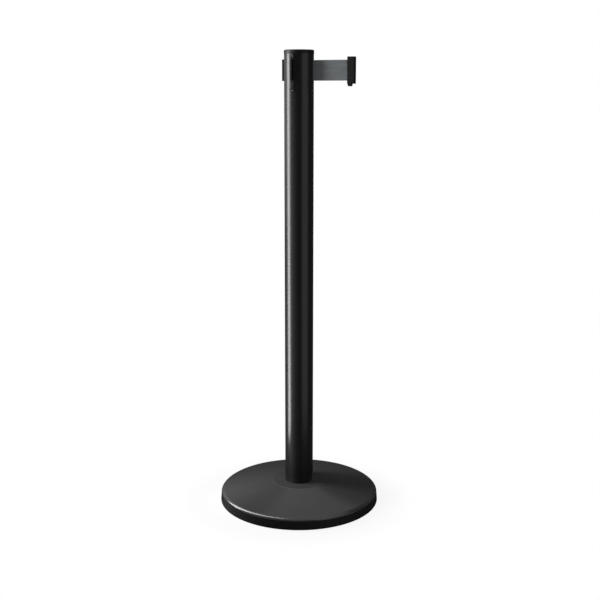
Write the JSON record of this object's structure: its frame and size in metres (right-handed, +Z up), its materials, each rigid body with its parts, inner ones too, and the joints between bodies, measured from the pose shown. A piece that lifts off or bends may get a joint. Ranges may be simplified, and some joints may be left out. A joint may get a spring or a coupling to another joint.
{
  "type": "retractable belt stanchion",
  "caption": "Free-standing queue barrier post: weighted round base, black steel tube, sprung belt that pulls out of the head to a grooved belt end, and T rails that receive other belts.",
  "frame": {"origin": "on the floor under the centre of the post", "axes": "+Z up along the post, +X along the belt as it leaves the head, receivers at +Y, -X and -Y"},
  "size_m": [0.3619, 0.362, 1.0098],
  "materials": {
    "tube_paint": "smooth satin-gloss black powder coat",
    "base_paint": "smooth satin black powder coat",
    "cap_plastic": "moulded satin black plastic",
    "clip_plastic": "moulded satin black plastic",
    "rail_plastic": "moulded matt black plastic",
    "ring_rubber": "matt black rubber",
    "weight_iron": "rough grey casting",
    "plain_steel": "turned, lightly oiled",
    "screw_steel": "zinc plated",
    "spring_steel": "blued rolled strip",
    "cassette_nylon": "moulded natural nylon",
    "washer_nylon": "punched white nylon",
    "bush_bronze": "sintered bronze",
    "belt_fabric": "charcoal grey woven polyester webbing"
  },
  "bodies": {
    "post": {"rim_ring": "ring_rubber", "base_weight": "weight_iron", "base_cover": "base_paint", "base_bolt": "plain_steel", "bolt_washer": "plain_steel", "foot_plug": "plain_steel", "post_tube": "tube_paint", "top_cap": "cap_plastic", "cassette_frame": "cassette_nylon", "cassette_lid": "cassette_nylon", "lid_screws": "screw_steel", "spindle": "plain_steel", "thrust_washer_lower": "washer_nylon", "thrust_washer_upper": "washer_nylon", "power_spring": "spring_steel", "outlet_plate": "tube_paint", "receiver_plate_rear": "tube_paint", "receiver_plate_left": "tube_paint", "receiver_plate_front": "tube_paint", "receiver_rail_rear": "rail_plastic", "receiver_rail_left": "rail_plastic", "receiver_rail_front": "rail_plastic", "plate_screws": "screw_steel"},
    "reel": {"spool": "cassette_nylon", "bush_lower": "bush_bronze", "bush_upper": "bush_bronze", "spring_cover": "cassette_nylon", "belt_wound": "belt_fabric"},
    "belt_end": {"belt_end_body": "clip_plastic", "belt_pin": "clip_plastic", "belt_free": "belt_fabric"}
  },
  "joints": [
    {"name": "belt_pull", "type": "slide", "parent": "post", "child": "belt_end", "axis": [1, 0, 0], "range_m": [-0.08, 2.2], "stiffness_N_per_m": 1.5, "springref_m": -2, "deforming": ["belt_free"]},
    {"name": "reel_spin", "type": "hinge", "parent": "post", "child": "reel", "pos_m": [0, 0, 0.96695], "axis": [0, 0, 1], "range_deg": [-285, 7660], "deforming": ["power_spring"]}
  ],
  "couplings": [
    {"joint": "reel_spin", "follows": "belt_pull", "rad_per_m": 60.6}
  ]
}
